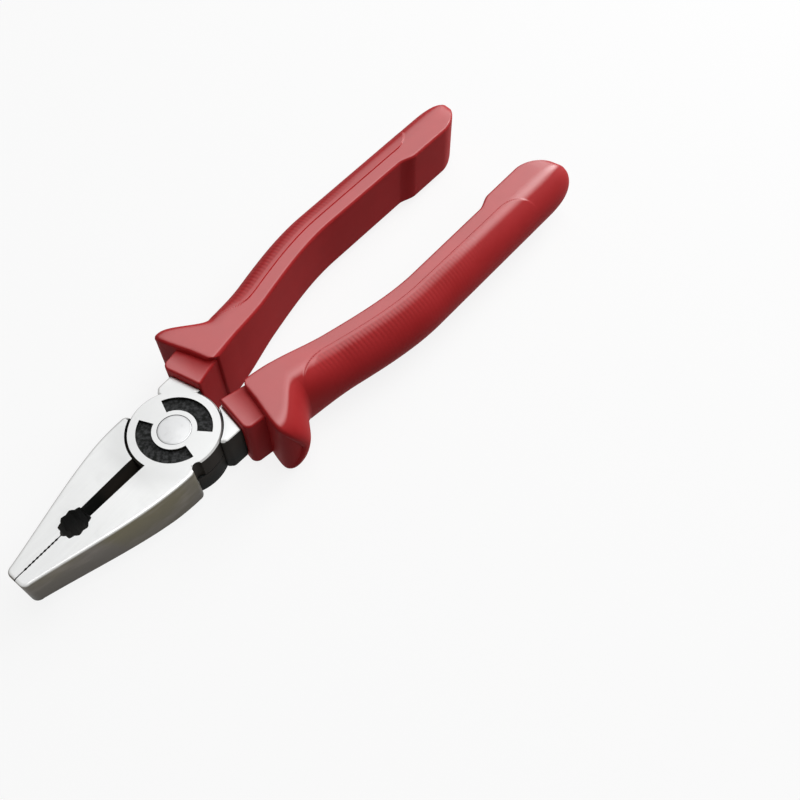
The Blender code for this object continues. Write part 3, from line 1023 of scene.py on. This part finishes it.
def moulded_sleeve(size, mat):
    """The sleeve with its ribs, nose block and the pocket for the tang."""
    skin = sleeve_skin(sleeve_rings(size))
    skin.data.shade_smooth()
    grown(skin, rib_tree(), {"Pitch": size.rib_pitch, "Relief": size.rib_relief, "Material": mat})
    nose = prism("nose", nose_outline(), -NOSE_HALF_T, NOSE_HALF_T)
    bevel(nose, NOSE_EDGE, 4)
    settled(nose)
    pocket_top = TANG_HALF_T + GAP
    carve(skin, [("UNION", nose),
                 ("DIFFERENCE", prism("pocket", tang_outline(GAP), -pocket_top, pocket_top))])
    shade(skin)
    mark_gloss(skin)
    return skin


# Settings.
class PLIERS_PG_forging(bpy.types.PropertyGroup):
    """Sizes and finishes of the forged halves and the rivet."""

    head_thickness: FloatProperty(
        name="Head thickness", description="Thickness of the head at the joint",
        default=14.2 * MM, unit="LENGTH", subtype="DISTANCE")
    tip_thickness: FloatProperty(
        name="Tip thickness", description="Thickness of the jaws at their tips",
        default=10.3 * MM, unit="LENGTH", subtype="DISTANCE")
    tooth_pitch: FloatProperty(
        name="Tooth pitch", description="Distance between the flat teeth",
        default=1.2 * MM, unit="LENGTH", subtype="DISTANCE")
    tooth_depth: FloatProperty(
        name="Tooth depth", description="Depth of the flat teeth",
        default=0.16 * MM, unit="LENGTH", subtype="DISTANCE")
    teeth: IntProperty(name="Teeth", description="Number of flat teeth on each jaw", default=9)
    band_depth: FloatProperty(
        name="Band depth", description="Depth of the two sunk bands round the rivet",
        default=1.2 * MM, unit="LENGTH", subtype="DISTANCE")
    rivet_radius: FloatProperty(
        name="Rivet radius", description="Radius of the rivet's head",
        default=4.62 * MM, unit="LENGTH", subtype="DISTANCE")
    rivet_proud: FloatProperty(
        name="Rivet height", description="How far the rivet stands proud of the head",
        default=0.15 * MM, unit="LENGTH", subtype="DISTANCE")
    ground: FloatVectorProperty(
        name="Ground faces", description="Colour of the bright ground faces",
        default=(0.765, 0.770, 0.767), subtype="COLOR", size=3)
    flank: FloatVectorProperty(
        name="Flanks", description="Colour of the satin sides of the jaws",
        default=(0.125, 0.112, 0.098), subtype="COLOR", size=3)
    flank_tint: FloatVectorProperty(
        name="Flank tint", description="Olive cast of the heat-treated sides",
        default=(0.128, 0.113, 0.064), subtype="COLOR", size=3)
    black: FloatVectorProperty(
        name="Blackened", description="Colour of the blackened hollows",
        default=(0.012, 0.013, 0.012), subtype="COLOR", size=3)
    scale: FloatVectorProperty(
        name="Forge scale", description="Brown cast of the blackened sides of the joint",
        default=(0.035, 0.029, 0.024), subtype="COLOR", size=3)
    band: FloatVectorProperty(
        name="Band floor", description="Colour of the worn floor of the sunk bands",
        default=(0.075, 0.076, 0.078), subtype="COLOR", size=3)
    rivet: FloatVectorProperty(
        name="Rivet", description="Colour of the rivet's ground face",
        default=(0.520, 0.524, 0.527), subtype="COLOR", size=3)


class PLIERS_PG_sleeve(bpy.types.PropertyGroup):
    """Sizes and colours of the moulded sleeves."""

    guard_height: FloatProperty(
        name="Guard height", description="Height of the finger guard",
        default=23.39 * MM, unit="LENGTH", subtype="DISTANCE")
    body_height: FloatProperty(
        name="Body height", description="Height of the sleeve behind the guard",
        default=18.8 * MM, unit="LENGTH", subtype="DISTANCE")
    panel_rise: FloatProperty(
        name="Panel rise", description="How far the grip panel stands above its border",
        default=0.35 * MM, unit="LENGTH", subtype="DISTANCE")
    rib_pitch: FloatProperty(
        name="Rib pitch", description="Distance between the ribs of the grip panel",
        default=1.35 * MM, unit="LENGTH", subtype="DISTANCE")
    rib_relief: FloatProperty(
        name="Rib relief", description="Height of the ribs of the grip panel",
        default=0.052 * MM, unit="LENGTH", subtype="DISTANCE")
    red: FloatVectorProperty(
        name="Red", description="Main colour of the moulding",
        default=(0.42, 0.014, 0.016), subtype="COLOR", size=3)
    red_light: FloatVectorProperty(
        name="Light red", description="Lighter patches of the moulding",
        default=(0.47, 0.020, 0.023), subtype="COLOR", size=3)
    # Painted shade: the colour laid in the valleys between the ribs.
    red_deep: FloatVectorProperty(
        name="Deep red", description="Colour between the ribs",
        default=(0.20, 0.005, 0.006), subtype="COLOR", size=3)
    scuff: FloatVectorProperty(
        name="Scuffs", description="Colour of light rub marks",
        default=(0.52, 0.10, 0.11), subtype="COLOR", size=3)


class PLIERS_PG_studio(bpy.types.PropertyGroup):
    """Floor, light and camera."""

    floor: FloatVectorProperty(
        name="Floor", description="Colour of the floor", default=(0.97, 0.97, 0.97),
        subtype="COLOR", size=3)
    floor_dim: FloatVectorProperty(
        name="Floor bounce", description="Colour of the light the floor throws back up",
        default=(0.11, 0.11, 0.11), subtype="COLOR", size=3)
    floor_glow: FloatProperty(
        name="Floor glow", description="Share of plain white in what the camera sees of the floor",
        default=0.85, min=0.0, max=1.0, subtype="FACTOR")
    ambient: FloatProperty(
        name="Ambient", description="Strength of the even light of the room", default=0.04)
    room_glow: FloatProperty(
        name="Room glow", description="Strength of the room as polished faces mirror it",
        default=1.0)
    top_power: FloatProperty(
        name="Top light", description="Power of the large soft light overhead", default=6.2,
        unit="POWER")
    far_power: FloatProperty(
        name="Far light", description="Power of the soft light beyond the handles",
        default=0.5, unit="POWER")
    side_power: FloatProperty(
        name="Side light", description="Power of the soft light from the handles' near side",
        default=5.0, unit="POWER")
    azimuth: FloatProperty(
        name="Azimuth", description="Camera's direction round the object",
        default=math.radians(128.455), subtype="ANGLE")
    elevation: FloatProperty(
        name="Elevation", description="Camera's height above the horizon",
        default=math.radians(57.312), subtype="ANGLE")
    roll: FloatProperty(
        name="Roll", description="Camera's turn about its own axis",
        default=math.radians(0.437), subtype="ANGLE")
    lens: FloatProperty(name="Lens", description="Focal length in millimetres", default=38.25)
    place: FloatVectorProperty(
        name="Camera", description="Where the camera stands",
        default=(0.10325, 0.11906, 0.21439), subtype="TRANSLATION", size=3)


# Operators and what the stage needs.
class PLIERS_OT_forge_halves(bpy.types.Operator):
    """Build the two forged halves and let each ride on its body"""

    bl_idname = "pliers.forge_halves"
    bl_label = "Forge Halves"

    def execute(self, context):
        size = millimetres(context.scene.pliers_forging)
        mat = steel_material(size)
        half = forged_half(size, mat)
        upper = placed(half, "upper_half_forging", mat)
        lower = placed(half, "lower_half_forging", mat, turn_over=True)
        bpy.data.objects.remove(half)
        join_frame(upper, "upper_handle", "upper_lap_half")
        join_frame(lower, "lower_handle", "lower_lap_half")
        return {"FINISHED"}


class PLIERS_OT_set_rivet(bpy.types.Operator):
    """Turn the rivet of the joint"""

    bl_idname = "pliers.set_rivet"
    bl_label = "Set Rivet"

    def execute(self, context):
        size = millimetres(context.scene.pliers_forging)
        top = size.head_thickness / 2 + size.rivet_proud
        head = size.rivet_radius
        seat = size.head_thickness / 2 - HEAD_SEAT_T + GAP
        profile = [(radius, top - drop) for radius, drop in RIVET_CROWN]
        for angle in reversed(RIM_ANGLES):
            down = RIM_DROP + RIM_DOWN * (1 - math.sin(angle))
            profile.append((head - RIM_IN * (1 - math.cos(angle)), top - down))
        profile += [(head, seat), (SHANK_R, seat)]
        rivet = turned("rivet", profile + [(r, -z) for r, z in reversed(profile)], DISC_STEPS)
        shade(rivet)
        piece = placed(rivet, "joint_rivet", rivet_material(size))
        bpy.data.objects.remove(rivet)
        join_frame(piece, "upper_handle", "pivot_rivet")
        return {"FINISHED"}


class PLIERS_OT_mould_sleeves(bpy.types.Operator):
    """Mould the two ribbed sleeves and let each ride with its half"""

    bl_idname = "pliers.mould_sleeves"
    bl_label = "Mould Sleeves"

    def execute(self, context):
        size = millimetres(context.scene.pliers_sleeve)
        mat = red_material(size, size.rib_pitch)
        sleeve = moulded_sleeve(size, mat)
        upper = placed(sleeve, "upper_half_moulding", mat)
        lower = placed(sleeve, "lower_half_moulding", mat, turn_over=True)
        bpy.data.objects.remove(sleeve)
        join_frame(upper, "upper_handle", "upper_half_sleeve")
        join_frame(lower, "lower_handle", "lower_half_sleeve")
        return {"FINISHED"}


def sight(tree):
    """What the camera sees straight on, and what it sees in or through a face."""
    path = tree.node("ShaderNodeLightPath").socket.node.outputs
    direct, mirrored, through = (Link(tree, path["Is %s Ray" % kind])
                                 for kind in ("Camera", "Glossy", "Transmission"))
    return direct, mirrored + through


def floor_material(look):
    """Pale floor that keeps the shadow; seen directly it is lifted toward plain white."""
    mat, tree = new_material("studio_floor")
    direct, mirrored = sight(tree)
    share = direct + mirrored
    grain = tree.noise(tree.place(), 900.0, 2.0)
    colour = tree.blend(grain, rgba(look.floor), rgba(look.floor, 0.985))
    colour = tree.blend(share, rgba(look.floor_dim), colour)
    plain = tree.node("ShaderNodeBsdfDiffuse", None, {"Color": colour})
    glow = tree.node("ShaderNodeEmission", None, {"Strength": 1.0})
    tree.surface(tree.node("ShaderNodeMixShader", None, {
        0: share * look.floor_glow, 1: plain, 2: glow}))
    return mat


def area_light(name, place, power, size):
    """Square soft light that faces the frame's origin."""
    data = bpy.data.lights.new(name, "AREA")
    data.energy = power
    data.shape = "SQUARE"
    data.size = size
    lamp = bpy.data.objects.new(name, data)
    lamp.location = place
    lamp.rotation_euler = (-Vector(place)).to_track_quat("-Z", "Y").to_euler()
    bpy.context.scene.collection.objects.link(lamp)


def room_world(look):
    """Even room light; seen directly it is plain white."""
    world = bpy.data.worlds.new("studio_room")
    world.use_nodes = True
    tree = Tree(world.node_tree)
    direct, mirrored = sight(tree)
    strength = (look.ambient + direct * (1.0 - look.ambient)
                + mirrored * (look.room_glow - look.ambient))
    room = tree.node("ShaderNodeBackground", None, {"Color": (1, 1, 1, 1), "Strength": strength})
    tree.node("ShaderNodeOutputWorld", None, {"Surface": room})
    bpy.context.scene.world = world


def photo_camera(look):
    """Camera at the photograph's viewing angle."""
    data = bpy.data.cameras.new("camera")
    data.sensor_width = SENSOR_MM
    data.lens = look.lens
    data.clip_start, data.clip_end = CLIP
    back = Vector((math.sin(look.azimuth) * math.cos(look.elevation),
                   -math.cos(look.azimuth) * math.cos(look.elevation), math.sin(look.elevation)))
    right = (-back).cross(Vector((0, 0, 1))).normalized()
    up = right.cross(-back)
    turn = Matrix((right, up, back)).transposed() @ Matrix.Rotation(look.roll, 3, "Z")
    camera = bpy.data.objects.new("camera", data)
    camera.matrix_world = Matrix.Translation(look.place) @ turn.to_4x4()
    bpy.context.scene.collection.objects.link(camera)
    bpy.context.scene.camera = camera


class PLIERS_OT_set_studio(bpy.types.Operator):
    """Lay the floor, hang the lights and place the camera"""

    bl_idname = "pliers.set_studio"
    bl_label = "Set Studio"

    def execute(self, context):
        look = context.scene.pliers_studio
        mesh = bmesh.new()
        bmesh.ops.create_grid(mesh, x_segments=8, y_segments=8, size=FLOOR_HALF)
        bmesh.ops.translate(mesh, verts=mesh.verts, vec=(0, 0, -FLOOR_DROP))
        floor = keep(mesh, "floor")
        floor.data.materials.append(floor_material(look))
        for name, place, power, size in LIGHTS:
            area_light(name, place, getattr(look, power), size)
        room_world(look)
        photo_camera(look)
        context.scene.view_settings.view_transform = "Standard"
        return {"FINISHED"}


class PLIERS_PT_panel(bpy.types.Panel):
    """Pieces of the pliers and their settings"""

    bl_label = "Lineman Pliers"
    bl_idname = "PLIERS_PT_panel"
    bl_space_type = "VIEW_3D"
    bl_region_type = "UI"
    bl_category = "Pliers"

    def draw(self, context):
        for operators, group in PANEL_ROWS:
            box = self.layout.box()
            for operator in operators:
                box.operator(operator.bl_idname)
            settings = getattr(context.scene, group)
            for prop in settings.bl_rna.properties:
                if prop.identifier not in ("rna_type", "name"):
                    box.prop(settings, prop.identifier)


PANEL_ROWS = (
    ((PLIERS_OT_forge_halves, PLIERS_OT_set_rivet), "pliers_forging"),
    ((PLIERS_OT_mould_sleeves,), "pliers_sleeve"),
    ((PLIERS_OT_set_studio,), "pliers_studio"),
)
SETTINGS = {
    "pliers_forging": PLIERS_PG_forging,
    "pliers_sleeve": PLIERS_PG_sleeve,
    "pliers_studio": PLIERS_PG_studio,
}
CLASSES = (*SETTINGS.values(), PLIERS_OT_forge_halves, PLIERS_OT_set_rivet,
           PLIERS_OT_mould_sleeves, PLIERS_OT_set_studio, PLIERS_PT_panel)


def register():
    for cls in CLASSES:
        bpy.utils.register_class(cls)
    for name, cls in SETTINGS.items():
        setattr(bpy.types.Scene, name, PointerProperty(type=cls))


def unregister():
    for name in SETTINGS:
        delattr(bpy.types.Scene, name)
    for cls in reversed(CLASSES):
        bpy.utils.unregister_class(cls)


def main():
    register()
    bpy.ops.pliers.forge_halves()
    bpy.ops.pliers.set_rivet()
    bpy.ops.pliers.mould_sleeves()
    bpy.ops.pliers.set_studio()


if __name__ == "__main__":
    main()
